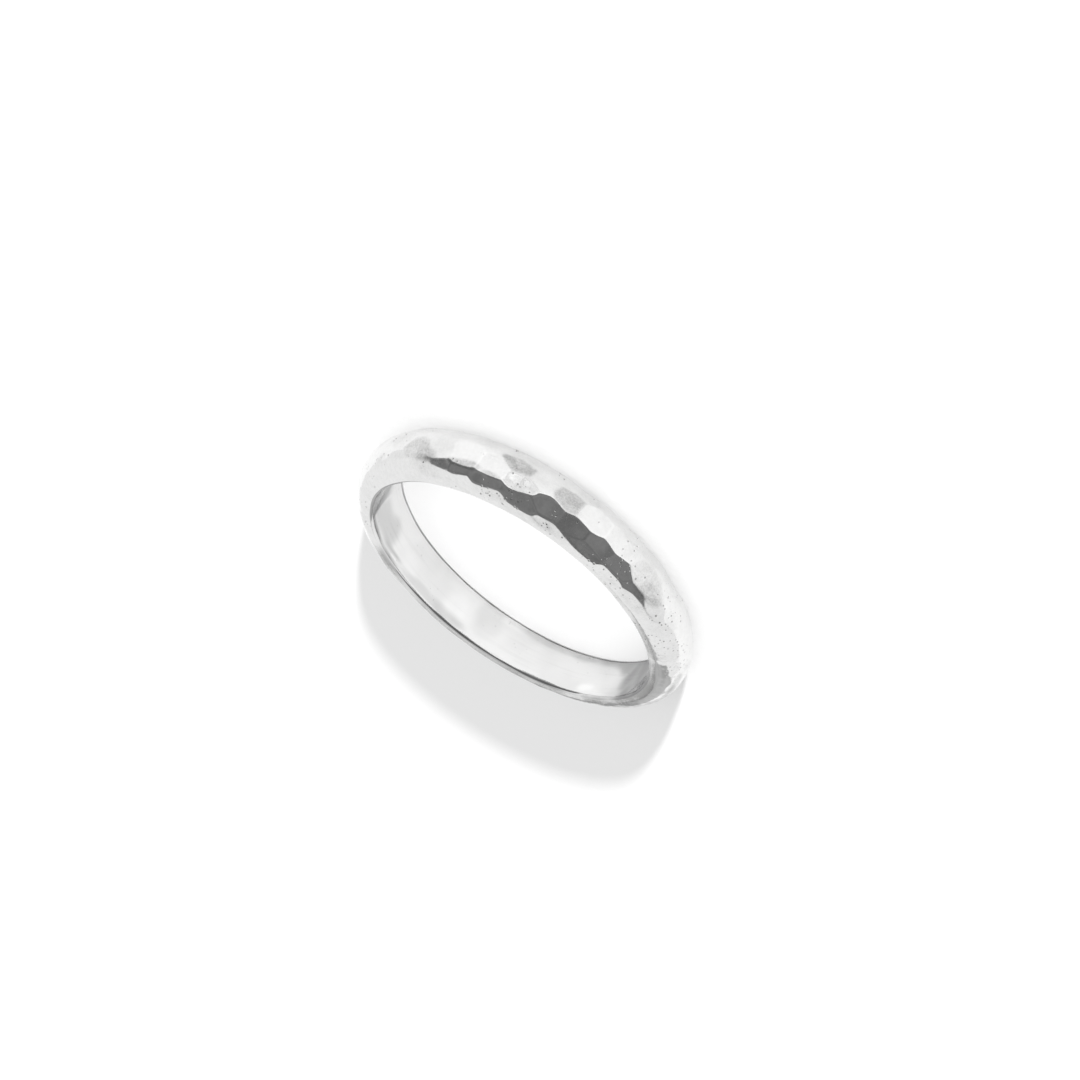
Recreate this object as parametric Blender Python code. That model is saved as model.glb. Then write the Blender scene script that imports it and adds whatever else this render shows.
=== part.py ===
"""A stackable finger ring: one solid band of polished silver with a hammered crown.

The band lies on its side. Its bore runs along +Z, its lower side face rests on z = 0 and
its widest, thickest side, the one worn on top of the finger, faces -Y. Lengths are metres.
An angle round the band is counted from -Y towards +X. A place across the band goes from 0
at the lower side face, over the crown at 0.5, to 1 at the upper side face.
"""

import math
import random
from collections import namedtuple

import bpy
import numpy as np

# Bore and wall
BORE_DIAMETER = 0.0173
EDGE_THICKNESS = 0.00044
CROWN_THICKNESS = 0.00165
INNER_EDGE_ACROSS = 0.00018
INNER_EDGE_DOWN = 0.00016
LARGEST_EDGE_SHARE = 0.8
LARGEST_FALL_SHARE = 0.4

# Width along the bore
BAND_WIDTH = 0.00292

# The band swells towards the top of the finger and thins out opposite
WIDTH_SWELL = 0.00029
CROWN_SWELL = 0.00018
WIDEST_ANGLE = math.radians(25)
THICKEST_ANGLE = math.radians(2)

# Hammer marks: flat, faintly hollow facets that meet at soft ridges
MARK_DEPTH = 0.00012
MARK_SPACING = 0.00155
RIDGE_SOFTNESS = 0.000015
MARK_HOLLOW_RADIUS = 0.010
MARK_REACH = math.radians(14)
MARK_LEAST_FACING = 0.2
SIDE_FACE_MARGIN = 0.03
MARK_SEED = 17

# Colour and finish of the silver
SILVER_COLOUR = (0.93, 0.92, 0.90, 1.0)
SILVER_ROUGHNESS = 0.12
RIDGE_SHADING_ANGLE = math.radians(40)

# Mesh steps
STEPS_AROUND = 168
STEPS_OVER_CROWN = 20
STEPS_ON_INNER_EDGE = 4
STEPS_ON_BORE = 3

# Blows on the top of the band that can be told apart: degrees round the band, place across
# it, and depth as a share of MARK_DEPTH
Mark = namedtuple("Mark", "angle across depth")
TOP_MARKS = (
    Mark(62, 0.50, 0.9),
    Mark(54, 0.60, 1.0),
    Mark(45, 0.58, 1.15),
    Mark(35, 0.56, 1.3),
    Mark(26, 0.575, 1.2),
    Mark(19, 0.43, 1.0),
    Mark(16, 0.60, 1.1),
    Mark(10, 0.45, 0.9),
    Mark(1, 0.47, 1.1),
    Mark(-8, 0.48, 1.2),
    Mark(-18, 0.48, 1.3),
    Mark(-31, 0.56, 1.35),
    Mark(-47, 0.60, 0.4),
    Mark(42, 0.75, 0.42),
    Mark(35, 0.765, 0.35),
    Mark(26, 0.765, 0.45),
    Mark(13, 0.79, 0.8),
    Mark(5, 0.70, 1.0),
    Mark(-4, 0.71, 1.0),
    Mark(-14, 0.70, 1.05),
    Mark(-11, 0.81, 0.8),
    Mark(-22, 0.71, 0.9),
    Mark(-30, 0.76, 0.4),
    Mark(-41, 0.70, 0.5),
    Mark(46, 0.865, 0.55),
    Mark(36, 0.87, 0.5),
    Mark(24, 0.88, 0.55),
    Mark(3, 0.88, 0.65),
    Mark(-22, 0.88, 0.6),
    Mark(-34, 0.87, 0.6),
    Mark(-50, 0.83, 0.3),
)

# Rows of blows on the rest of the band: place across it, the stretch in degrees that the row
# covers, depth as a share of MARK_DEPTH, and spacing as a share of MARK_SPACING
Row = namedtuple("Row", "across start end depth spacing")
ROWS = (
    Row(0.14, -50, 62, 0.5, 1.5),
    Row(0.14, 62, 310, 0.2, 1.5),
    Row(0.29, -50, 62, 0.9, 1.0),
    Row(0.29, 62, 310, 0.4, 1.0),
    Row(0.50, 70, 310, 0.4, 1.0),
    Row(0.71, 58, 305, 0.25, 1.0),
    Row(0.87, 100, 250, 0.2, 1.5),
)
ANGLE_JITTER = 0.22
ACROSS_JITTER = 0.035
DEPTH_JITTER = 0.25


def width_at(angle, radius):
    """Height of the upper side face, a plane tilted by the swell of the width."""
    tilt = radius / (BORE_DIAMETER / 2)
    return BAND_WIDTH + WIDTH_SWELL * tilt * np.cos(angle - WIDEST_ANGLE)


def crown_at(angle):
    """Wall thickness at the middle of the width."""
    return CROWN_THICKNESS + CROWN_SWELL * np.cos(angle - THICKEST_ANGLE)


def smooth_crown(angle, across):
    """Radius and height of the domed outside before it is hammered: half an ellipse."""
    turn = across * np.pi
    dome = (crown_at(angle) - EDGE_THICKNESS) * np.sin(turn)
    radius = BORE_DIAMETER / 2 + EDGE_THICKNESS + dome
    height = width_at(angle, radius) * (1 - np.cos(turn)) / 2
    return radius, height


def in_space(angle, radius, height):
    """A point from its angle round the bore, its radius and its height."""
    return np.stack([radius * np.sin(angle), -radius * np.cos(angle), height], axis=-1)


def outward_at(angle, across):
    """Point on the smooth crown and the unit vector that leaves the metal there."""
    step = 0.001
    point = in_space(angle, *smooth_crown(angle, across))
    along = in_space(angle + step, *smooth_crown(angle + step, across)) - point
    upward = in_space(angle, *smooth_crown(angle, across + step)) - point
    outward = np.cross(along, upward)
    return point, outward / np.linalg.norm(outward)


def all_marks():
    """The named blows on top, and rows of evenly scattered ones on the rest of the band."""
    dice = random.Random(MARK_SEED)
    marks = list(TOP_MARKS)
    for row in ROWS:
        radius, _ = smooth_crown(0.0, row.across)
        length = math.radians(row.end - row.start) * float(radius)
        count = max(1, round(length / (MARK_SPACING * row.spacing)))
        step = (row.end - row.start) / count
        for number in range(count):
            angle = row.start + step * (number + 0.5 + dice.uniform(-ANGLE_JITTER, ANGLE_JITTER))
            across = row.across + dice.uniform(-ACROSS_JITTER, ACROSS_JITTER)
            depth = row.depth * (1 + dice.uniform(-DEPTH_JITTER, DEPTH_JITTER))
            marks.append(Mark(angle, across, depth))
    return marks


def hammered_crown(angle, across):
    """Points of the hammered outside.

    From the middle of each section a ray runs out to the smooth crown. It stops sooner where
    it meets a blow: a plane square to the crown, sunk by the blow's depth, whose edges rise
    as on a large ball. Where two blows meet, a soft minimum rounds the ridge between them.
    """
    radius, height = smooth_crown(angle, across)
    bore = BORE_DIAMETER / 2
    middle = in_space(angle, bore + EDGE_THICKNESS, width_at(angle, bore) / 2)
    smooth = in_space(angle, radius, height)
    reach = np.linalg.norm(smooth - middle, axis=-1)
    ray = (smooth - middle) / reach[..., None]
    stops = [reach]
    for mark in all_marks():
        mark_angle = math.radians(mark.angle)
        point, outward = outward_at(mark_angle, mark.across)
        point = point - outward * mark.depth * MARK_DEPTH
        facing = ray @ outward
        stop = ((point - middle) @ outward) / np.maximum(facing, MARK_LEAST_FACING)
        stop = stop + np.sum((smooth - point) ** 2, axis=-1) / (2 * MARK_HOLLOW_RADIUS)
        apart = np.abs((angle - mark_angle + np.pi) % (2 * np.pi) - np.pi)
        struck = (facing > MARK_LEAST_FACING) & (apart < MARK_REACH)
        stops.append(np.where(struck, stop, reach + CROWN_THICKNESS))
    stops = np.array(stops)
    nearest = stops.min(axis=0)
    blend = np.exp((nearest - stops) / RIDGE_SOFTNESS).sum(axis=0)
    hammered = nearest - RIDGE_SOFTNESS * np.log(blend)
    fade = np.clip(np.minimum(across, 1 - across) / SIDE_FACE_MARGIN, 0, 1)
    fade = fade * fade * (3 - 2 * fade)
    return middle + (reach + (hammered - reach) * fade)[..., None] * ray


def band_loops():
    """Rings of points round the band, from the lower outer edge over the crown to the upper
    side face, down the bore and back along the lower side face. The bore's two rims are
    quarter ellipses."""
    angle = np.arange(STEPS_AROUND) * (2 * np.pi / STEPS_AROUND)
    edge = min(INNER_EDGE_ACROSS, EDGE_THICKNESS * LARGEST_EDGE_SHARE)
    fall = min(INNER_EDGE_DOWN, (BAND_WIDTH - WIDTH_SWELL) * LARGEST_FALL_SHARE)
    bore = BORE_DIAMETER / 2
    loops = []
    for step in range(STEPS_OVER_CROWN + 1):
        across = np.full(STEPS_AROUND, step / STEPS_OVER_CROWN)
        loops.append(hammered_crown(angle, across))
    quarter = np.arange(STEPS_ON_INNER_EDGE + 1) * (np.pi / 2 / STEPS_ON_INNER_EDGE)
    for turn in quarter:
        radius = bore + edge * (1 - math.sin(turn))
        drop = fall * (1 - math.cos(turn))
        loops.append(in_space(angle, radius, width_at(angle, radius) - drop))
    for step in range(1, STEPS_ON_BORE):
        share = step / STEPS_ON_BORE
        upper = width_at(angle, bore) - fall
        loops.append(in_space(angle, bore, upper + (fall - upper) * share))
    for turn in quarter[::-1]:
        radius = bore + edge * (1 - math.sin(turn))
        drop = fall * (1 - math.cos(turn))
        loops.append(in_space(angle, radius, np.full(STEPS_AROUND, drop)))
    return loops


def silver():
    """Polished silver."""
    material = bpy.data.materials.new("polished_silver")
    material.use_nodes = True
    shader = material.node_tree.nodes["Principled BSDF"]
    shader.inputs["Base Color"].default_value = SILVER_COLOUR
    shader.inputs["Metallic"].default_value = 1.0
    shader.inputs["Roughness"].default_value = SILVER_ROUGHNESS
    return material


def hammered_band():
    """The whole band as one closed skin: each loop of points is joined to the next."""
    loops = band_loops()
    count = len(loops)
    faces = []
    for loop in range(count):
        after = (loop + 1) % count
        for step in range(STEPS_AROUND):
            ahead = (step + 1) % STEPS_AROUND
            faces.append(
                (
                    loop * STEPS_AROUND + step,
                    loop * STEPS_AROUND + ahead,
                    after * STEPS_AROUND + ahead,
                    after * STEPS_AROUND + step,
                )
            )
    mesh = bpy.data.meshes.new("hammered_band")
    mesh.from_pydata(np.concatenate(loops).tolist(), [], faces)
    mesh.shade_smooth()
    mesh.set_sharp_from_angle(angle=RIDGE_SHADING_ANGLE)
    mesh.materials.append(silver())
    band = bpy.data.objects.new("hammered_band", mesh)
    bpy.context.scene.collection.objects.link(band)
    return band


for old in list(bpy.data.objects):
    bpy.data.objects.remove(old, do_unlink=True)

hammered_band()
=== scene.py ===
"""Hammered silver finger ring: its polished and hammered skin, the floor, the light and the camera.

The band lies on its side with its bore along +Z and its wide, thick side towards -Y. An angle
round the band is counted from -Y towards +X. A place across the band goes from 0 at the lower
side face, over the crown at 0.5, to 1 at the upper side face.
"""

import math
import random
from collections import namedtuple

import bpy
import numpy as np
from bpy.props import FloatProperty, FloatVectorProperty, IntProperty, PointerProperty
from mathutils import Matrix, Vector


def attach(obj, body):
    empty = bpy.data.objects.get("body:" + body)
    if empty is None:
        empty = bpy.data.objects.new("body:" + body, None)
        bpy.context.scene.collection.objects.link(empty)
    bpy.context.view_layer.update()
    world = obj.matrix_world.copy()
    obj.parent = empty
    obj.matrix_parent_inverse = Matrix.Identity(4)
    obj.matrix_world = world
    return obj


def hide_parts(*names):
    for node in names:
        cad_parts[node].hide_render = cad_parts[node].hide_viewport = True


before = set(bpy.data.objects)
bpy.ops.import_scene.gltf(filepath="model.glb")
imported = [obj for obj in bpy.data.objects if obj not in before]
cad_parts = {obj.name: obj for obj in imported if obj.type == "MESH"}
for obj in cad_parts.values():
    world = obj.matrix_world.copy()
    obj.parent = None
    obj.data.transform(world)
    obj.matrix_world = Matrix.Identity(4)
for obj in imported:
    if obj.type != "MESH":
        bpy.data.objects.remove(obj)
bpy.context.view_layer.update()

bl_info = {
    "name": "Hammered Silver Ring",
    "version": (1, 0, 0),
    "blender": (4, 5, 0),
    "location": "3D View > Sidebar > Ring",
    "description": "Makes a hammered silver finger ring with its floor, light and camera",
    "category": "Object",
}

# Blows on the top of the band that can be told apart: degrees round the band, place across
# it, depth as a share of the mark depth, how much painted shade darkens the blow, from 0 to 1,
# and the painted light on its edge, from -1, a painted dark line, to 1, a painted highlight
Mark = namedtuple("Mark", "angle across depth dull edge")
TOP_MARKS = (
    Mark(62, 0.50, 0.9, 0.1, 0.0),
    Mark(54, 0.60, 1.0, 0.5, -0.2),
    Mark(45, 0.58, 1.15, 0.1, 0.0),
    Mark(35, 0.56, 1.3, 0.0, 0.4),
    Mark(26, 0.575, 1.2, 0.05, 0.6),
    Mark(19, 0.43, 1.0, 0.7, 0.0),
    Mark(16, 0.60, 1.1, 0.25, 0.2),
    Mark(10, 0.45, 0.9, 0.1, 0.3),
    Mark(1, 0.47, 1.1, 0.62, -0.3),
    Mark(-8, 0.48, 1.2, 0.0, 0.6),
    Mark(-18, 0.48, 1.3, 0.05, 0.3),
    Mark(-31, 0.56, 1.35, 0.35, -0.1),
    Mark(-47, 0.60, 0.4, 0.1, 0.0),
    Mark(42, 0.75, 0.42, 0.0, 0.0),
    Mark(35, 0.765, 0.35, 0.1, 0.0),
    Mark(26, 0.765, 0.45, 0.0, 0.0),
    Mark(13, 0.79, 0.8, 0.1, 0.3),
    Mark(5, 0.70, 1.0, 0.0, 0.0),
    Mark(-4, 0.71, 1.0, 0.1, 0.0),
    Mark(-14, 0.70, 1.05, 0.0, 0.0),
    Mark(-11, 0.81, 0.8, 0.1, 0.0),
    Mark(-22, 0.71, 0.9, 0.0, 0.2),
    Mark(-30, 0.76, 0.4, 0.1, 0.2),
    Mark(-41, 0.70, 0.5, 0.1, 0.0),
    Mark(46, 0.865, 0.55, 0.1, 0.0),
    Mark(36, 0.87, 0.5, 0.0, 0.0),
    Mark(24, 0.88, 0.55, 0.1, 0.0),
    Mark(3, 0.88, 0.65, 0.15, 0.0),
    Mark(-22, 0.88, 0.6, 0.0, 0.0),
    Mark(-34, 0.87, 0.6, 0.1, 0.0),
    Mark(-50, 0.83, 0.3, 0.05, 0.0),
)

# Rows of blows on the rest of the band: place across it, the stretch in degrees that the row
# covers, depth as a share of the mark depth, and spacing as a share of the mark spacing
Row = namedtuple("Row", "across start end depth spacing")
ROWS = (
    Row(0.14, -50, 62, 0.5, 1.5),
    Row(0.14, 62, 310, 0.2, 1.5),
    Row(0.29, -50, 62, 0.9, 1.0),
    Row(0.29, 62, 310, 0.4, 1.0),
    Row(0.50, 70, 310, 0.4, 1.0),
    Row(0.71, 58, 305, 0.25, 1.0),
    Row(0.87, 100, 250, 0.2, 1.5),
)

# How far chance moves these blows, as a share of the step along the row, in place across and
# as a share of the depth, and how dull it leaves them at most
ANGLE_JITTER = 0.22
ACROSS_JITTER = 0.035
DEPTH_JITTER = 0.25
MOST_DULL = 0.15
MARK_SEED = 17

# How far round the band a blow reaches, how squarely a ray has to meet its plane, and the
# stretch across the band over which blows fade out at the side faces
MARK_REACH = math.radians(14)
MARK_LEAST_FACING = 0.2
SIDE_FACE_MARGIN = 0.03

# The rims' rounding takes no more than these shares of the wall and of the width
LARGEST_EDGE_SHARE = 0.8
LARGEST_FALL_SHARE = 0.4

# Fine waves, in metres, of the whole skin and of each blow's face. On the bore they are
# stretched, and fade in from its rims.
RIPPLE_SEED = 5
RIPPLE_WAVES = 12
RIPPLE_LENGTHS = (0.0004, 0.0013)
BORE_RIPPLE_STRETCH = 3.0
BORE_RIPPLE_RISE = 5.0
FACE_WAVES = 3
FACE_LENGTHS = (0.0008, 0.0020)

# How far the rims' fall wavers: a share of it for each metre of ripple
RIM_WAVER = 80000.0

# Clusters of pits: degrees round the band, place across it, how far they reach in metres, and
# how many pits they hold, from 0 to 1
Cluster = namedtuple("Cluster", "angle across reach share")
CLUSTERS = (
    Cluster(38, 0.66, 0.00035, 0.7),
    Cluster(25, 0.92, 0.00055, 1.0),
    Cluster(19, 0.88, 0.0005, 0.7),
    Cluster(16, 0.75, 0.0004, 1.0),
    Cluster(14, 0.82, 0.0005, 0.8),
    Cluster(3, 0.90, 0.0005, 1.0),
    Cluster(-16, 0.96, 0.0007, 0.8),
    Cluster(-24, 0.68, 0.0006, 1.0),
    Cluster(-27, 0.92, 0.0006, 0.6),
    Cluster(-48, 0.62, 0.0007, 0.6),
    Cluster(-54, 0.88, 0.0007, 1.0),
    Cluster(-61, 0.68, 0.0006, 0.7),
    Cluster(-70, 0.66, 0.0006, 0.8),
    Cluster(82, 0.80, 0.0005, 0.4),
    Cluster(140, 0.55, 0.0012, 0.6),
    Cluster(205, 0.70, 0.0010, 0.6),
    Cluster(255, 0.45, 0.0012, 0.7),
    Cluster(60, 0.25, 0.0009, 0.6),
    Cluster(-20, 0.22, 0.0009, 0.6),
)

# Patches of painted shade, and of painted glints on the bore: degrees round the band, place
# across the outside or share of the way down the bore, half of what they cover of each, and
# strength, from 0 to 1
Patch = namedtuple("Patch", "angle along half_angle half_along strength")
OUTSIDE_PAINTED_SHADE = (
    Patch(185, 1.00, 62, 0.15, 0.75),
    Patch(236, 0.94, 10, 0.06, 0.80),
    Patch(247, 0.91, 8, 0.07, 0.80),
    Patch(255, 0.85, 7, 0.08, 0.80),
    Patch(262, 0.77, 7, 0.09, 0.80),
    Patch(270, 0.70, 8, 0.08, 0.80),
    Patch(279, 0.66, 8, 0.06, 0.50),
    Patch(268, 1.00, 26, 0.03, 1.00),
    Patch(310, 1.00, 18, 0.03, 0.50),
    Patch(51, 0.65, 7, 0.10, 0.60),
    Patch(36, 0.66, 5, 0.05, 0.80),
    Patch(26, 0.675, 5, 0.03, 0.60),
    Patch(-34, 0.62, 5, 0.14, 0.50),
    Patch(150, 0.40, 20, 0.12, 0.20),
    Patch(250, 0.30, 24, 0.12, 0.25),
)
# Painted shade on the bore: dark patches, and painted dark lines along its rims
BORE_PAINTED_SHADE = (
    Patch(95, 0.20, 15, 0.65, 1.00),
    Patch(116, 0.06, 24, 0.025, 0.90),
    Patch(130, 0.17, 12, 0.03, 0.50),
    Patch(118, 0.32, 12, 0.30, 0.36),
    Patch(124, 0.12, 9, 0.10, 0.30),
    Patch(150, 0.16, 10, 0.10, 0.26),
    Patch(165, 0.18, 12, 0.12, 0.30),
    Patch(181, 0.66, 5, 0.40, 0.16),
    Patch(203, 0.90, 12, 0.10, 0.30),
    Patch(222, 0.92, 16, 0.10, 0.42),
    Patch(242, 0.92, 14, 0.24, 0.60),
    Patch(251, 0.70, 8, 0.50, 0.80),
    Patch(263, 0.40, 19, 0.90, 1.00),
    Patch(300, 0.50, 14, 0.30, 0.20),
    Patch(350, 0.40, 18, 0.22, 0.16),
    Patch(45, 0.60, 16, 0.26, 0.16),
)
# Painted glints on the bore
BORE_PAINTED_GLINTS = (
    Patch(228, 0.18, 4, 0.10, 0.8),
    Patch(233, 0.12, 5, 0.05, 0.5),
    Patch(120, 0.11, 14, 0.025, 0.9),
    Patch(134, 0.12, 3, 0.04, 0.7),
    Patch(190, 0.84, 9, 0.06, 0.4),
    Patch(168, 0.50, 6, 0.28, 0.3),
)

# How steep the patches' edges are, how far those edges wander for each metre of ripple, as a
# share of the patch, and the share of the bore over which the side face's patches fade out
PATCH_POWER = 2.5
PATCH_WANDER = 70000.0
RIM_SHARE = 0.05

# Mesh steps over each rounded rim and down the bore
RIM_STEPS = 8
BORE_STEPS = 14


class RingSizes(bpy.types.PropertyGroup):
    """Sizes of the band, in metres and radians."""

    bore_diameter: FloatProperty(
        name="Bore", description="Diameter of the finger hole", default=0.0173, unit="LENGTH"
    )
    band_width: FloatProperty(
        name="Width", description="Mean width along the bore", default=0.00292, unit="LENGTH"
    )
    edge_thickness: FloatProperty(
        name="Edge", description="Wall at both side faces", default=0.00044, unit="LENGTH"
    )
    crown_thickness: FloatProperty(
        name="Crown", description="Mean wall at mid width", default=0.00165, unit="LENGTH"
    )
    inner_edge_across: FloatProperty(
        name="Inner edge across", description="Rounding of the bore's rims over the side faces",
        default=0.00018, unit="LENGTH",
    )
    inner_edge_down: FloatProperty(
        name="Inner edge down", description="Rounding of the bore's rims down the bore",
        default=0.00016, unit="LENGTH",
    )
    width_swell: FloatProperty(
        name="Width swell", description="Added on the widest side", default=0.00029, unit="LENGTH"
    )
    crown_swell: FloatProperty(
        name="Crown swell", description="Added on the thickest side", default=0.00018, unit="LENGTH"
    )
    widest_angle: FloatProperty(
        name="Widest at", description="Angle of the widest side", default=math.radians(25),
        subtype="ANGLE",
    )
    thickest_angle: FloatProperty(
        name="Thickest at", description="Angle of the thickest side", default=math.radians(2),
        subtype="ANGLE",
    )
    mark_depth: FloatProperty(
        name="Mark depth", description="How far a blow sinks", default=0.00012, unit="LENGTH"
    )
    mark_spacing: FloatProperty(
        name="Mark spacing", description="Between blows in a row", default=0.00155, unit="LENGTH"
    )
    mark_hollow_radius: FloatProperty(
        name="Mark hollow", description="Radius of the hammer's face", default=0.010, unit="LENGTH"
    )
    ridge_softness: FloatProperty(
        name="Ridge softness", description="Rounding between blows", default=0.000015, unit="LENGTH"
    )
    ripple_height: FloatProperty(
        name="Ripple", description="Height of the fine waves left by hand work",
        default=0.0000016, unit="LENGTH",
    )
    face_waver: FloatProperty(
        name="Face waver", description="Height of the waves on each blow's face",
        default=0.00001, unit="LENGTH",
    )
    steps_around: IntProperty(name="Steps around", description="Faces round the band", default=1080)
    steps_across: IntProperty(name="Steps across", description="Faces over the crown", default=60)


class SilverFinish(bpy.types.PropertyGroup):
    """Colour and polish of the silver."""

    colour: FloatVectorProperty(
        name="Silver", description="Colour of the metal", default=(0.85, 0.85, 0.847),
        subtype="COLOR", min=0.0, max=1.0,
    )
    # Colour of the painted highlights on edges and of the painted glints in the bore
    painted_highlight_colour: FloatVectorProperty(
        name="Bright", description="Colour of the brightest edges", default=(0.98, 0.98, 0.977),
        subtype="COLOR", min=0.0, max=1.0,
    )
    # Colour towards which dullness and painted shade darken the outside
    dull_and_painted_shade_colour: FloatVectorProperty(
        name="Dull", description="Colour of the dullest hollows", default=(0.40, 0.40, 0.397),
        subtype="COLOR", min=0.0, max=1.0,
    )
    # Colour of the painted shade in the bore
    shade_colour: FloatVectorProperty(
        name="Shade", description="Colour of the shade in the bore", default=(0.25, 0.25, 0.252),
        subtype="COLOR", min=0.0, max=1.0,
    )
    outside_roughness: FloatProperty(
        name="Outside", description="Roughness of the hammered outside", default=0.07
    )
    bore_roughness: FloatProperty(
        name="Bore", description="Roughness of the polished bore", default=0.06
    )
    pit_size: FloatProperty(
        name="Pit size", description="Spacing of the fine pits", default=0.00018, unit="LENGTH"
    )


class StudioSettings(bpy.types.PropertyGroup):
    """Floor, light and camera."""

    camera_elevation: FloatProperty(
        name="Elevation", description="Camera above the floor", default=math.radians(25.99),
        subtype="ANGLE",
    )
    camera_roll: FloatProperty(
        name="Roll", description="Camera turned about its view", default=math.radians(-143.81),
        subtype="ANGLE",
    )
    camera_distance: FloatProperty(
        name="Distance", description="Camera to the middle of the band", default=0.21388,
        unit="LENGTH",
    )
    sky_brightness: FloatProperty(
        name="Sky", description="Brightness of the white tent", default=0.95
    )
    floor_colour: FloatVectorProperty(
        name="Floor", description="Colour of the floor", default=(0.82, 0.82, 0.82),
        subtype="COLOR", min=0.0, max=1.0,
    )


# Sizes of the surface


def width_at(sizes, angle, radius):
    """Height of the upper side face: mean width plus swell times cosine, a tilted plane."""
    tilt = radius / (sizes.bore_diameter / 2)
    return sizes.band_width + sizes.width_swell * tilt * np.cos(angle - sizes.widest_angle)


def smooth_crown(sizes, angle, across):
    """Radius and height before hammering: half an ellipse, from side face to side face."""
    turn = across * np.pi
    crown = sizes.crown_thickness + sizes.crown_swell * np.cos(angle - sizes.thickest_angle)
    dome = (crown - sizes.edge_thickness) * np.sin(turn)
    radius = sizes.bore_diameter / 2 + sizes.edge_thickness + dome
    return radius, width_at(sizes, angle, radius) * (1 - np.cos(turn)) / 2


def in_space(angle, radius, height):
    """x = radius times sine, y = minus radius times cosine, z = height."""
    return np.stack([radius * np.sin(angle), -radius * np.cos(angle), height], axis=-1)


def outward_at(sizes, angle, across):
    """Point on the smooth crown and its normal, the cross product of two short steps."""
    step = 0.001
    point = in_space(angle, *smooth_crown(sizes, angle, across))
    along = in_space(angle + step, *smooth_crown(sizes, angle + step, across)) - point
    upward = in_space(angle, *smooth_crown(sizes, angle, across + step)) - point
    outward = np.cross(along, upward)
    return point, outward / np.linalg.norm(outward)


def all_marks(sizes):
    """The named blows on top, and rows of evenly scattered ones on the rest of the band."""
    dice = random.Random(MARK_SEED)
    marks = list(TOP_MARKS)
    for row in ROWS:
        radius, _ = smooth_crown(sizes, 0.0, row.across)
        length = math.radians(row.end - row.start) * float(radius)
        count = max(1, round(length / (sizes.mark_spacing * row.spacing)))
        step = (row.end - row.start) / count
        for number in range(count):
            angle = row.start + step * (number + 0.5 + dice.uniform(-ANGLE_JITTER, ANGLE_JITTER))
            across = row.across + dice.uniform(-ACROSS_JITTER, ACROSS_JITTER)
            depth = row.depth * (1 + dice.uniform(-DEPTH_JITTER, DEPTH_JITTER))
            marks.append(Mark(angle, across, depth, MOST_DULL * dice.random() ** 2, 0.0))
    return marks


def waves(points, seed, count, lengths):
    """A sum of sines of the place along a few chance directions, the longer the higher."""
    dice = random.Random(seed)
    height = np.zeros(points.shape[:-1])
    for _ in range(count):
        length = dice.uniform(*lengths)
        way = np.array([dice.gauss(0, 1) for _ in range(3)])
        turns = points @ (way / np.linalg.norm(way)) / length + dice.random()
        height += np.sin(2 * np.pi * turns) * length / lengths[1]
    return height


def ripple(sizes, points):
    """Height of the fine waves of the whole skin."""
    return waves(points, RIPPLE_SEED, RIPPLE_WAVES, RIPPLE_LENGTHS) * sizes.ripple_height


def patchy(sizes, patches, angle, along):
    """Strength of the patches: each is exp of minus an oval to a power, and the highest holds.

    The oval is angle and place, each over the patch's half, squared and added up. Waves shift
    both, so that the patches have uneven edges.
    """
    place = in_space(angle, sizes.bore_diameter / 2, along * sizes.band_width)
    place = place / BORE_RIPPLE_STRETCH
    wander = ripple(sizes, place) * PATCH_WANDER
    drift = ripple(sizes, place[..., ::-1]) * PATCH_WANDER
    highest = np.zeros_like(along)
    for patch in patches:
        turned = angle - math.radians(patch.angle)
        apart = np.degrees((turned + np.pi) % (2 * np.pi) - np.pi) / patch.half_angle
        beside = (along - patch.along) / patch.half_along
        oval = (apart + wander) ** 2 + (beside + drift) ** 2
        highest = np.maximum(highest, patch.strength * np.exp(-(oval ** PATCH_POWER)))
    return highest


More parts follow.
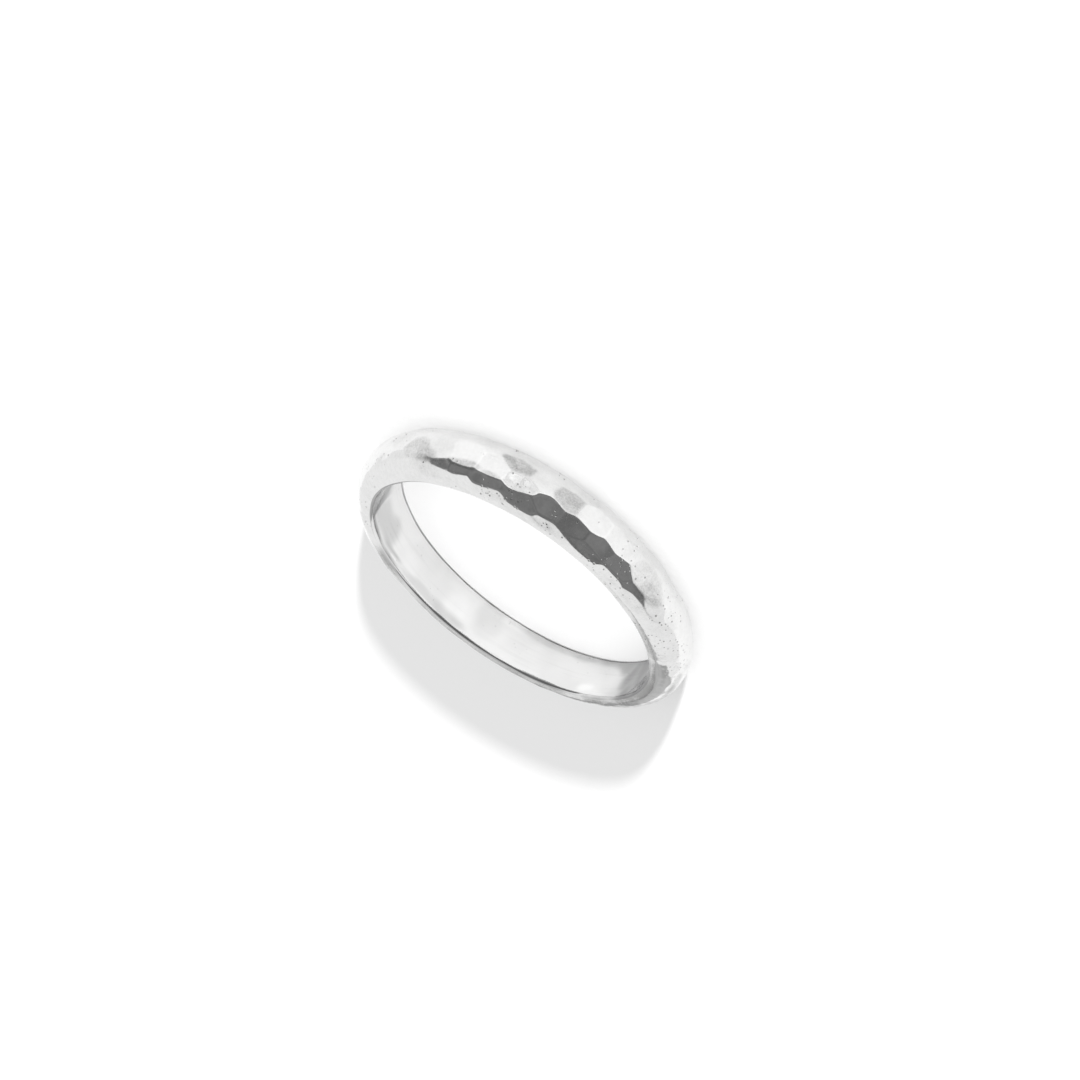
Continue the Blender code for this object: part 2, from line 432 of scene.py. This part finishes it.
def hammered_crown(sizes, angle, across):
    """Points of the hammered outside, and the dullness and painted shade, the painted highlight or
    dark line on the edges, and the pitting there.

    A ray runs from the middle of each section to the smooth crown. It stops where it meets the
    soft minimum, minus softness times the log of the sum of exp(-stop / softness), of the
    crown and of each blow's plane, raised by distance squared over twice the hollow's radius
    and by its own waves. Each blow's share of that sum weighs its dullness and painted shade
    and its painted edge light. The painted highlights and dark lines show where the shares are
    even, by one minus the sum of their squares. Pitting is the highest of the clusters, each a
    bell: exp of minus distance squared over reach squared.
    """
    radius, height = smooth_crown(sizes, angle, across)
    bore = sizes.bore_diameter / 2
    middle = in_space(angle, bore + sizes.edge_thickness, width_at(sizes, angle, bore) / 2)
    smooth = in_space(angle, radius, height)
    reach = np.linalg.norm(smooth - middle, axis=-1)
    ray = (smooth - middle) / reach[..., None]
    total = np.ones_like(reach)
    squares = np.ones_like(reach)
    dull = np.zeros_like(reach)
    edge = np.zeros_like(reach)
    for number, mark in enumerate(all_marks(sizes)):
        mark_angle = math.radians(mark.angle)
        apart = np.abs((angle[:, 0] - mark_angle + np.pi) % (2 * np.pi) - np.pi)
        near = np.flatnonzero(apart < MARK_REACH)
        point, outward = outward_at(sizes, mark_angle, mark.across)
        point = point - outward * mark.depth * sizes.mark_depth
        facing = ray[near] @ outward
        stop = ((point - middle[near]) @ outward) / np.maximum(facing, MARK_LEAST_FACING)
        hollow = np.sum((smooth[near] - point) ** 2, axis=-1) / (2 * sizes.mark_hollow_radius)
        waver = waves(smooth[near], MARK_SEED + number, FACE_WAVES, FACE_LENGTHS)
        sunk = stop + hollow + waver * sizes.face_waver - reach[near]
        share = np.exp(-sunk / sizes.ridge_softness) * (facing > MARK_LEAST_FACING)
        total[near] += share
        squares[near] += share * share
        dull[near] += share * mark.dull
        edge[near] += share * mark.edge
    drop = sizes.ridge_softness * np.log(total) - ripple(sizes, smooth)
    fade = np.clip(np.minimum(across, 1 - across) / SIDE_FACE_MARGIN, 0, 1)
    fade = fade * fade * (3 - 2 * fade)
    points = middle + (reach - drop * fade)[..., None] * ray
    pitted = np.zeros_like(reach)
    for cluster in CLUSTERS:
        point, _ = outward_at(sizes, math.radians(cluster.angle), cluster.across)
        away = np.sum((smooth - point) ** 2, axis=-1) / cluster.reach ** 2
        pitted = np.maximum(pitted, cluster.share * np.exp(-away))
    # Painted shade: the outside's patches darken the colour
    dull = np.maximum(dull / total, patchy(sizes, OUTSIDE_PAINTED_SHADE, angle, across))
    return points, dull, edge / total * (1 - squares / (total * total)), pitted


def band_surface(sizes):
    """The whole skin as a grid: over the crown, down the bore and back along the lower face.

    The bore is straight but for its ripple, and its two rims are quarter ellipses whose fall
    wavers. Returns the points, and the dullness and painted shade, the painted highlights, dark
    lines and glints, and the pitting there.
    """
    around = np.arange(sizes.steps_around) * (2 * np.pi / sizes.steps_around)
    over = np.linspace(0, 1, sizes.steps_across + 1)
    angle, across = np.meshgrid(around, over, indexing="ij")
    outside, dull, edge, pitted = hammered_crown(sizes, angle, across)
    bore = sizes.bore_diameter / 2
    rim = min(sizes.inner_edge_across, sizes.edge_thickness * LARGEST_EDGE_SHARE)
    narrowest = sizes.band_width - sizes.width_swell
    along_rim = in_space(around, bore, np.zeros_like(around))
    waver = ripple(sizes, along_rim / BORE_RIPPLE_STRETCH) * RIM_WAVER
    fall = min(sizes.inner_edge_down, narrowest * LARGEST_FALL_SHARE) * (1 + waver)[:, None]
    turn = np.linspace(0, np.pi / 2, RIM_STEPS + 1)
    angle, quarter = np.meshgrid(around, turn, indexing="ij")
    radius = bore + rim * (1 - np.sin(quarter))
    drop = fall * (1 - np.cos(quarter))
    upper_rim = in_space(angle, radius, width_at(sizes, angle, radius) - drop)
    lower_rim = in_space(angle, radius, drop)[:, ::-1]
    share = np.linspace(0, 1, BORE_STEPS + 1)[1:-1]
    angle, share = np.meshgrid(around, share, indexing="ij")
    top = width_at(sizes, angle, bore) - fall
    height = top + (fall - top) * share
    wave = ripple(sizes, in_space(angle, bore, height) / BORE_RIPPLE_STRETCH)
    swell = np.minimum(1, np.minimum(share, 1 - share) * BORE_RIPPLE_RISE)
    wall = in_space(angle, bore + wave * BORE_RIPPLE_STRETCH * swell, height)
    inside = np.concatenate([upper_rim, wall, lower_rim], axis=1)
    down = 1 - inside[..., 2] / width_at(sizes, around, bore)[:, None]
    angle = np.broadcast_to(around[:, None], down.shape)
    below_rim = np.clip(down / RIM_SHARE, 0, 1)
    # Painted shade down the bore and the outside's painted shade over the rims; painted glints on
    # the bore
    bore_painted_shade = patchy(sizes, BORE_PAINTED_SHADE, angle, down) * below_rim
    bore_painted_shade += patchy(sizes, OUTSIDE_PAINTED_SHADE, angle, np.ones_like(down)) * (1 - below_rim)
    dull = np.concatenate([dull, bore_painted_shade], axis=1)
    edge = np.concatenate([edge, patchy(sizes, BORE_PAINTED_GLINTS, angle, down)], axis=1)
    points = np.concatenate([outside, inside], axis=1)
    return points, dull, edge, np.pad(pitted, ((0, 0), (0, inside.shape[1])))


def grid_mesh(name, points):
    """A closed skin whose grid joins up both ways, with a face for each cell."""
    rows, columns = points.shape[:2]
    index = np.arange(rows * columns).reshape(rows, columns)
    ahead = np.roll(index, -1, axis=0)
    corners = [index, ahead, np.roll(ahead, -1, axis=1), np.roll(index, -1, axis=1)]
    mesh = bpy.data.meshes.new(name)
    faces = np.stack(corners, axis=-1).reshape(-1, 4)
    mesh.vertices.add(rows * columns)
    mesh.vertices.foreach_set("co", points.astype(np.float32).ravel())
    mesh.loops.add(faces.size)
    mesh.loops.foreach_set("vertex_index", faces.astype(np.int32).ravel())
    mesh.polygons.add(len(faces))
    mesh.polygons.foreach_set("loop_start", np.arange(0, faces.size, 4, dtype=np.int32))
    mesh.update(calc_edges=True)
    mesh.shade_smooth()
    return mesh


# Materials


def add_node(tree, kind, inputs=None, **settings):
    """A new node with its settings, its inputs given as plain values or linked sockets."""
    node = tree.nodes.new(kind)
    for name, value in settings.items():
        setattr(node, name, value)
    for key, value in (inputs or {}).items():
        if isinstance(value, bpy.types.NodeSocket):
            tree.links.new(value, node.inputs[key])
        else:
            node.inputs[key].default_value = value
    return node


def work_out(tree, operation, *values):
    """The result of one Math node."""
    return add_node(tree, "ShaderNodeMath", dict(enumerate(values)), operation=operation).outputs[0]


def ease(tree, value, start, end, low=0.0, high=1.0):
    """A smooth step from low to high as the value goes from start to end."""
    limits = {"Value": value, "From Min": start, "From Max": end, "To Min": low, "To Max": high}
    node = add_node(tree, "ShaderNodeMapRange", limits, interpolation_type="SMOOTHSTEP")
    return node.outputs["Result"]


def blend_colours(tree, share, first, second):
    """From the first colour to the second by share."""
    node = add_node(tree, "ShaderNodeMix", {0: share, 6: first, 7: second}, data_type="RGBA")
    return node.outputs[2]


def noise(tree, place, length, detail=2.0, roughness=0.5):
    """Noise from 0 to 1 whose waves are about as long as stated, in metres."""
    inputs = {"Vector": place, "Scale": 1 / length, "Detail": detail, "Roughness": roughness}
    return add_node(tree, "ShaderNodeTexNoise", inputs).outputs["Fac"]


def stretched(tree, place, turn, stretch):
    """The place turned about the three axes and then scaled."""
    turned = add_node(tree, "ShaderNodeMapping", {"Vector": place, "Rotation": turn})
    scaled = {"Vector": turned.outputs[0], "Scale": stretch}
    return add_node(tree, "ShaderNodeMapping", scaled).outputs[0]


# Sets of hairline scratches: the turn of the grain, in radians, and the length of the noise
# across the lines, in metres
Scratches = namedtuple("Scratches", "turn_x turn_y turn_z across")
SCRATCHES = (
    Scratches(0.4, 0.3, 0.2, 0.00045),
    Scratches(1.1, -0.7, 0.5, 0.00060),
    Scratches(-0.6, 1.3, -0.4, 0.00050),
)
SCRATCH_STRETCH = 0.10
SCRATCH_HALF_WIDTH = 0.010
SCRATCH_BREAK_LENGTH = 0.0011

# Streaks round the axis: the length of their noise, and how much of the place is added to it
STREAK_LENGTH = 0.00012
STREAK_DRIFT = (0.03, 0.03, 0.03)

# Lengths of the noises of the metal, in metres
OUTSIDE_CLOUD = 0.0016
OUTSIDE_SKIN = 0.00055
OUTSIDE_GRAIN = 0.00022
OUTSIDE_FROST = 0.00011
PIT_SCATTER = 0.0014
BORE_CLOUD = 0.0026
BORE_SKIN = 0.0011
BORE_LINES = 0.00016
BORE_LINE_STRETCH = (0.04, 0.04, 1.0)

# Heights and depths of the metal's relief, in metres
OUTSIDE_SKIN_HEIGHT = 0.000004
OUTSIDE_GRAIN_HEIGHT = 0.0000009
OUTSIDE_PIT_DEPTH = 0.000012
OUTSIDE_SCRATCH_DEPTH = 0.0000008
BORE_SKIN_HEIGHT = 0.000006
BORE_LINE_HEIGHT = 0.0000006
BORE_PIT_DEPTH = 0.000004
BORE_SCRATCH_DEPTH = 0.0000006

# The floor paper's tooth, its length and height in metres, and its roughness
PAPER_TOOTH = 0.0004
PAPER_TOOTH_HEIGHT = 0.000008
PAPER_ROUGHNESS = 0.9


def hairlines(tree, place):
    """Fine scratches: 1 where stretched noise passes its middle value, else 0."""
    lines = 0.0
    for grain in SCRATCHES:
        turn = (grain.turn_x, grain.turn_y, grain.turn_z)
        along = stretched(tree, place, turn, (1.0, 1.0, SCRATCH_STRETCH))
        value = noise(tree, along, grain.across, detail=1.0)
        apart = work_out(tree, "ABSOLUTE", work_out(tree, "SUBTRACT", value, 0.5))
        line = ease(tree, apart, 0.0, SCRATCH_HALF_WIDTH, 1.0, 0.0)
        lines = work_out(tree, "MAXIMUM", lines, line)
    broken = ease(tree, noise(tree, place, SCRATCH_BREAK_LENGTH), 0.48, 0.62)
    return work_out(tree, "MULTIPLY", lines, broken)


def around_axis(tree, place):
    """Streaks that run round the axis: noise over the distance from it, from 0.75 to 1.25.

    A little of the place itself is added to the distance, so that no streak runs all round.
    """
    vector = "ShaderNodeVectorMath"
    flat = add_node(tree, vector, {0: place, 1: (1.0, 1.0, 0.0)}, operation="MULTIPLY")
    away = add_node(tree, vector, {0: flat.outputs["Vector"]}, operation="LENGTH")
    distance = add_node(tree, "ShaderNodeCombineXYZ", {"X": away.outputs["Value"]})
    terms = {0: place, 1: STREAK_DRIFT, 2: distance.outputs["Vector"]}
    drift = add_node(tree, vector, terms, operation="MULTIPLY_ADD")
    streak = noise(tree, drift.outputs["Vector"], STREAK_LENGTH, detail=3.0)
    return ease(tree, streak, 0.3, 0.7, 0.75, 1.25)


def pits(tree, place, size, pitted):
    """Specks: 1 at the middle of some cells of a cell pattern, 0 between them.

    The more pitted the place, the more cells have one, and a few lie scattered elsewhere.
    """
    cells = add_node(
        tree, "ShaderNodeTexVoronoi", {"Vector": place, "Scale": 1 / size, "Randomness": 1.0}
    )
    chance = add_node(tree, "ShaderNodeSeparateColor", {"Color": cells.outputs["Color"]})
    scattered = ease(tree, noise(tree, place, PIT_SCATTER, detail=3.0), 0.52, 0.66, 0.0, 0.35)
    share = work_out(tree, "MAXIMUM", scattered, pitted)
    picked = work_out(tree, "LESS_THAN", chance.outputs[0], share)
    width = work_out(tree, "MULTIPLY_ADD", chance.outputs[1], 0.28, 0.20)
    near = work_out(tree, "DIVIDE", cells.outputs["Distance"], width)
    speck = ease(tree, near, 0.3, 1.0, 1.0, 0.0)
    return work_out(tree, "MULTIPLY", speck, picked)


def lift(tree, *layers):
    """Sum of layers, each a value times its height in metres, as a bump."""
    total = 0.0
    for value, height in layers:
        total = work_out(tree, "MULTIPLY_ADD", value, height, total)
    bump = add_node(tree, "ShaderNodeBump", {"Strength": 1.0, "Distance": 1.0, "Height": total})
    return bump.outputs["Normal"]


def new_material(name):
    """A material, its tree and its shader."""
    material = bpy.data.materials.new(name)
    material.use_nodes = True
    tree = material.node_tree
    return material, tree, tree.nodes["Principled BSDF"]


def silver_outside(finish):
    """Hammered silver: some blows and patches darkened by dullness and painted shade, painted
    highlights and dark lines on some edges, with pits and scratches.
    """
    material, tree, shader = new_material("hammered_silver")
    place = tree.nodes.new("ShaderNodeTexCoord").outputs["Object"]
    dull = add_node(tree, "ShaderNodeAttribute", attribute_name="dull").outputs["Fac"]
    edge = add_node(tree, "ShaderNodeAttribute", attribute_name="edge").outputs["Fac"]
    pitted = add_node(tree, "ShaderNodeAttribute", attribute_name="pitted").outputs["Fac"]
    cloud = noise(tree, place, OUTSIDE_CLOUD, detail=3.0)
    grain = noise(tree, place, OUTSIDE_GRAIN, detail=4.0, roughness=0.6)
    frost = noise(tree, place, OUTSIDE_FROST, detail=2.0, roughness=0.6)
    speck = pits(tree, place, finish.pit_size, pitted)
    hairline = hairlines(tree, place)

    uneven = work_out(tree, "MULTIPLY_ADD", ease(tree, frost, 0.35, 0.7), 0.4, 0.6)
    uneven = work_out(tree, "MULTIPLY_ADD", ease(tree, cloud, 0.3, 0.7), 0.45, uneven)
    uneven = work_out(tree, "MULTIPLY", uneven, around_axis(tree, place))
    # Dullness and painted shade, made uneven by noise
    uneven_dull_and_shade = work_out(tree, "MULTIPLY", dull, uneven)
    tone_and_painted_shade = work_out(tree, "MULTIPLY_ADD", ease(tree, cloud, 0.45, 0.75), 0.12, uneven_dull_and_shade)
    tone_and_painted_shade = work_out(tree, "MULTIPLY_ADD", ease(tree, grain, 0.35, 0.65), 0.08, tone_and_painted_shade)
    # Pits darken the colour
    pits_tone_and_painted_shade = work_out(tree, "MULTIPLY_ADD", speck, 0.9, tone_and_painted_shade)
    # Painted highlights on edges, and painted dark lines where the edge value is below zero
    painted_highlight = ease(tree, edge, 0.0, 0.5)
    line = ease(tree, edge, -0.5, 0.0, 0.9, 0.0)
    unhighlighted = work_out(tree, "SUBTRACT", 1.0, painted_highlight)
    share = work_out(tree, "MULTIPLY_ADD", pits_tone_and_painted_shade, unhighlighted, line)
    limited = work_out(tree, "MINIMUM", share, 1.0)
    # Metal blended towards the painted highlight colour
    metal = blend_colours(tree, painted_highlight, (*finish.colour, 1.0), (*finish.painted_highlight_colour, 1.0))
    colour = blend_colours(tree, limited, metal, (*finish.dull_and_painted_shade_colour, 1.0))
    tree.links.new(colour, shader.inputs["Base Color"])

    rough = work_out(tree, "MULTIPLY_ADD", dull, 0.16, finish.outside_roughness)
    rough = work_out(tree, "MULTIPLY_ADD", ease(tree, cloud, 0.35, 0.7), 0.08, rough)
    rough = work_out(tree, "MULTIPLY_ADD", hairline, 0.12, rough)
    rough = work_out(tree, "MULTIPLY_ADD", speck, 0.25, rough)
    tree.links.new(rough, shader.inputs["Roughness"])

    skin = noise(tree, place, OUTSIDE_SKIN, detail=2.0)
    normal = lift(
        tree,
        (skin, OUTSIDE_SKIN_HEIGHT),
        (grain, OUTSIDE_GRAIN_HEIGHT),
        (speck, -OUTSIDE_PIT_DEPTH),
        (hairline, -OUTSIDE_SCRATCH_DEPTH),
    )
    tree.links.new(normal, shader.inputs["Normal"])
    shader.inputs["Metallic"].default_value = 1.0
    return material


def silver_bore(finish):
    """Polished silver with faint lines round the bore, a few scratches, patches of painted shade
    and painted glints.
    """
    material, tree, shader = new_material("polished_bore")
    place = tree.nodes.new("ShaderNodeTexCoord").outputs["Object"]
    cloud = noise(tree, place, BORE_CLOUD, detail=2.0)
    round_bore = stretched(tree, place, (0, 0, 0), BORE_LINE_STRETCH)
    lines = noise(tree, round_bore, BORE_LINES, detail=3.0)
    hairline = hairlines(tree, place)
    speck = pits(tree, place, finish.pit_size, 0.0)
    dull = add_node(tree, "ShaderNodeAttribute", attribute_name="dull").outputs["Fac"]
    # Painted glints
    painted_glint = add_node(tree, "ShaderNodeAttribute", attribute_name="edge").outputs["Fac"]

    tone_and_painted_shade = ease(tree, cloud, 0.42, 0.72, 0.0, 0.12)
    # Painted shade patches darken the colour
    tone_and_painted_shade = work_out(tree, "ADD", tone_and_painted_shade, dull)
    tone_and_painted_shade = work_out(tree, "MULTIPLY_ADD", ease(tree, lines, 0.5, 0.75), 0.07, tone_and_painted_shade)
    tone_and_painted_shade = work_out(tree, "MULTIPLY_ADD", speck, 0.22, tone_and_painted_shade)
    tone_and_painted_shade = work_out(tree, "MINIMUM", tone_and_painted_shade, 1.0)
    metal = blend_colours(tree, painted_glint, (*finish.colour, 1.0), (*finish.painted_highlight_colour, 1.0))
    colour = blend_colours(tree, tone_and_painted_shade, metal, (*finish.shade_colour, 1.0))
    tree.links.new(colour, shader.inputs["Base Color"])

    rough = ease(tree, lines, 0.3, 0.7, 0.0, 0.05)
    rough = work_out(tree, "MULTIPLY_ADD", hairline, 0.10, rough)
    rough = work_out(tree, "ADD", rough, finish.bore_roughness)
    tree.links.new(rough, shader.inputs["Roughness"])

    skin = noise(tree, place, BORE_SKIN, detail=1.0)
    normal = lift(
        tree,
        (skin, BORE_SKIN_HEIGHT),
        (lines, BORE_LINE_HEIGHT),
        (speck, -BORE_PIT_DEPTH),
        (hairline, -BORE_SCRATCH_DEPTH),
    )
    tree.links.new(normal, shader.inputs["Normal"])
    shader.inputs["Metallic"].default_value = 1.0
    return material


def floor_paper(studio):
    """Matt white paper with a faint tooth."""
    material, tree, shader = new_material("white_paper")
    place = tree.nodes.new("ShaderNodeTexCoord").outputs["Object"]
    tooth = noise(tree, place, PAPER_TOOTH, detail=3.0)
    tree.links.new(lift(tree, (tooth, PAPER_TOOTH_HEIGHT)), shader.inputs["Normal"])
    shader.inputs["Base Color"].default_value = (*studio.floor_colour, 1.0)
    shader.inputs["Roughness"].default_value = PAPER_ROUGHNESS
    shader.inputs["Specular IOR Level"].default_value = 0.0
    return material


class RING_OT_hammered_band(bpy.types.Operator):
    """Make the hammered band"""

    bl_idname = "ring.hammered_band"
    bl_label = "Hammered band"

    def execute(self, context):
        scene = context.scene
        points, dull, edge, pitted = band_surface(scene.ring_sizes)
        mesh = grid_mesh("hammered_band_skin", points)
        # The first attribute holds dullness and painted shade, the second painted highlights, dark
        # lines and glints
        for name, values in (("dull", dull), ("edge", edge), ("pitted", pitted)):
            layer = mesh.attributes.new(name, "FLOAT", "POINT")
            layer.data.foreach_set("value", values.astype(np.float32).ravel())
        mesh.materials.append(silver_outside(scene.silver_finish))
        mesh.materials.append(silver_bore(scene.silver_finish))
        columns = len(mesh.polygons) // scene.ring_sizes.steps_around
        place = np.tile(np.arange(columns), scene.ring_sizes.steps_around)
        inside = (place > scene.ring_sizes.steps_across).astype(np.int32)
        mesh.polygons.foreach_set("material_index", inside)
        band = bpy.data.objects.new("hammered_band_skin", mesh)
        scene.collection.objects.link(band)
        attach(band, "root")
        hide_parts("hammered_band")
        return {"FINISHED"}


class RING_OT_studio(bpy.types.Operator):
    """Make the floor, the light and the camera"""

    bl_idname = "ring.studio"
    bl_label = "Floor, light and camera"

    def execute(self, context):
        studio = context.scene.studio_settings
        make_floor(context.scene, studio)
        make_sky(context.scene, studio)
        make_lamps(context.scene)
        make_camera(context.scene, studio)
        context.scene.view_settings.view_transform = "Standard"
        return {"FINISHED"}


# How far the floor lies under the band, and its side, in metres
FLOOR_DROP = 0.00001
FLOOR_SIZE = 4.0


def make_floor(scene, studio):
    """A wide square just under the band."""
    half = FLOOR_SIZE / 2
    corners = [(-half, -half), (half, -half), (half, half), (-half, half)]
    mesh = bpy.data.meshes.new("floor")
    mesh.from_pydata([(x, y, -FLOOR_DROP) for x, y in corners], [], [(0, 1, 2, 3)])
    mesh.materials.append(floor_paper(studio))
    floor = bpy.data.objects.new("floor", mesh)
    scene.collection.objects.link(floor)


# Cards hung in the tent: a dark one and a bright strip in front of the band, and a grey one low
# behind it. Each covers a stretch of turn, the angle from the floor in front up and over, and
# of aside, the share of a direction that points to +X.
Card = namedtuple("Card", "turn half_turn aside half_aside brightness")
CARDS = (
    Card(math.radians(57.5), math.radians(45.5), 0.10, 0.92, 0.22),
    Card(math.radians(9), math.radians(4), 0.0, 0.7, 1.3),
    Card(math.radians(170), math.radians(21), -0.33, 0.27, 0.56),
)
CARD_SQUARENESS = 8.0

# Share of a card over which its edge fades, and the length of the cloudy shade that lies on
# the cards, as a share of a direction of length 1
CARD_EDGE = 0.05
CARD_MOTTLE = 0.35


def pointing(azimuth, elevation):
    """Unit vector of a direction, its azimuth counted from -Y towards +X."""
    level = math.cos(elevation)
    return (math.sin(azimuth) * level, -math.cos(azimuth) * level, math.sin(elevation))


def make_sky(scene, studio):
    """A white tent hung with cards, which are there only for what the silver mirrors.

    A card's outline is where turn and aside, each from its middle over its half and to a
    power, add up to 1. The floor is lit as if the tent were plain.
    """
    world = bpy.data.worlds.new("studio_tent")
    scene.world = world
    world.use_nodes = True
    tree = world.node_tree
    direction = tree.nodes.new("ShaderNodeTexCoord").outputs["Generated"]
    x, y, z = add_node(tree, "ShaderNodeSeparateXYZ", {0: direction}).outputs
    turn = work_out(tree, "ARCTAN2", z, work_out(tree, "MULTIPLY", y, -1.0))
    mottle = ease(tree, noise(tree, direction, CARD_MOTTLE), 0.35, 0.65, 0.7, 1.0)
    glow = studio.sky_brightness
    for card in CARDS:
        total = 0.0
        for value, middle, half in (
            (turn, card.turn, card.half_turn),
            (x, card.aside, card.half_aside),
        ):
            share = work_out(tree, "DIVIDE", work_out(tree, "SUBTRACT", value, middle), half)
            power = work_out(tree, "POWER", work_out(tree, "ABSOLUTE", share), CARD_SQUARENESS)
            total = work_out(tree, "ADD", total, power)
        oval = work_out(tree, "POWER", total, 1 / CARD_SQUARENESS)
        outside = ease(tree, oval, 1 - CARD_EDGE, 1 + CARD_EDGE)
        tone = work_out(tree, "MULTIPLY", mottle, card.brightness)
        change = work_out(tree, "SUBTRACT", glow, tone)
        glow = work_out(tree, "MULTIPLY_ADD", change, outside, tone)
    light_path = tree.nodes.new("ShaderNodeLightPath").outputs
    straight = work_out(tree, "LESS_THAN", light_path["Diffuse Depth"], 0.5)
    mirrored = work_out(tree, "MULTIPLY", light_path["Is Glossy Ray"], straight)
    plain = work_out(tree, "MAXIMUM", light_path["Is Camera Ray"], studio.sky_brightness)
    change = work_out(tree, "SUBTRACT", glow, plain)
    level = work_out(tree, "MULTIPLY_ADD", change, mirrored, plain)
    background = tree.nodes["Background"]
    tree.links.new(level, background.inputs["Strength"])
    background.inputs["Color"].default_value = (1.0, 1.0, 1.0, 1.0)


# The far lamp's direction, spread and strength, and the height, the reach at the floor, both
# in metres, and the power of the lamp over the finger hole
KEY_LAMP_AZIMUTH = math.radians(9)
KEY_LAMP_ELEVATION = math.radians(9)
KEY_LAMP_SPREAD = math.radians(2.5)
KEY_LAMP_STRENGTH = 8.5
HOLE_LAMP_HEIGHT = 0.3
HOLE_LAMP_REACH = 0.0093
HOLE_LAMP_POWER = 1.5


def make_lamps(scene):
    """A far lamp, low on the camera's side, and a small one over the finger hole.

    Their glare is left out of the silver, which mirrors the tent alone.
    """
    data = bpy.data.lights.new("hole", "SPOT")
    data.spot_size = 2 * math.atan(HOLE_LAMP_REACH / HOLE_LAMP_HEIGHT)
    data.energy = HOLE_LAMP_POWER
    light = bpy.data.objects.new("hole", data)
    light.visible_glossy = False
    light.location = (0.0, 0.0, HOLE_LAMP_HEIGHT)
    scene.collection.objects.link(light)
    data = bpy.data.lights.new("key", "SUN")
    data.angle = KEY_LAMP_SPREAD
    data.energy = KEY_LAMP_STRENGTH
    light = bpy.data.objects.new("key", data)
    light.visible_glossy = False
    towards = Vector(pointing(KEY_LAMP_AZIMUTH, KEY_LAMP_ELEVATION))
    light.rotation_mode = "QUATERNION"
    light.rotation_quaternion = towards.to_track_quat("Z", "Y")
    scene.collection.objects.link(light)


# The picture's side and the focal length in pixels, the sensor's width in millimetres, the
# height of the point that the camera holds and the pixel on which it falls, and the nearest
# and the farthest that the camera sees, in metres
PICTURE_PIXELS = 1080
FOCAL_PIXELS = 4000
SENSOR = 36.0
AIM_HEIGHT = 0.001384
AIM_PIXEL = (523.78, 571.63)
NEAREST_SEEN = 0.01
FARTHEST_SEEN = 20.0


def make_camera(scene, studio):
    """A long lens on the thick side, turned about its view as in the photo.

    The bore's axis at the aim height falls on the aim pixel of a 1080 pixel picture.
    """
    data = bpy.data.cameras.new("camera")
    data.sensor_width = SENSOR
    data.lens = SENSOR * FOCAL_PIXELS / PICTURE_PIXELS
    data.clip_start = NEAREST_SEEN
    data.clip_end = FARTHEST_SEEN
    camera = bpy.data.objects.new("camera", data)
    elevation = studio.camera_elevation
    back = Vector((0.0, -math.cos(elevation), math.sin(elevation)))
    level = Vector((1.0, 0.0, 0.0))
    up = back.cross(level)
    roll = studio.camera_roll
    right = math.cos(roll) * level + math.sin(roll) * up
    top = -math.sin(roll) * level + math.cos(roll) * up
    scale = studio.camera_distance / FOCAL_PIXELS
    aside = (AIM_PIXEL[0] - PICTURE_PIXELS / 2) * scale
    below = (AIM_PIXEL[1] - PICTURE_PIXELS / 2) * scale
    place = Vector((0.0, 0.0, AIM_HEIGHT)) + back * studio.camera_distance
    place += below * top - aside * right
    turn = Matrix((right, top, back)).transposed()
    camera.matrix_world = Matrix.Translation(place) @ turn.to_4x4()
    scene.collection.objects.link(camera)
    scene.camera = camera


class RING_PT_panel(bpy.types.Panel):
    """Sizes and operators of the ring"""

    bl_idname = "RING_PT_panel"
    bl_label = "Hammered ring"
    bl_space_type = "VIEW_3D"
    bl_region_type = "UI"
    bl_category = "Ring"

    def draw(self, context):
        layout = self.layout
        for group in (
            context.scene.ring_sizes,
            context.scene.silver_finish,
            context.scene.studio_settings,
        ):
            box = layout.box()
            for name in group.__annotations__:
                box.prop(group, name)
        for operator in OPERATORS:
            layout.operator(operator.bl_idname)


GROUPS = {
    "ring_sizes": RingSizes,
    "silver_finish": SilverFinish,
    "studio_settings": StudioSettings,
}
OPERATORS = (RING_OT_hammered_band, RING_OT_studio)


def register():
    for name, group in GROUPS.items():
        bpy.utils.register_class(group)
        setattr(bpy.types.Scene, name, PointerProperty(type=group))
    for operator in OPERATORS:
        bpy.utils.register_class(operator)
    bpy.utils.register_class(RING_PT_panel)


def unregister():
    bpy.utils.unregister_class(RING_PT_panel)
    for operator in reversed(OPERATORS):
        bpy.utils.unregister_class(operator)
    for name, group in GROUPS.items():
        delattr(bpy.types.Scene, name)
        bpy.utils.unregister_class(group)


def main():
    register()
    bpy.ops.ring.hammered_band()
    bpy.ops.ring.studio()


if __name__ == "__main__":
    main()
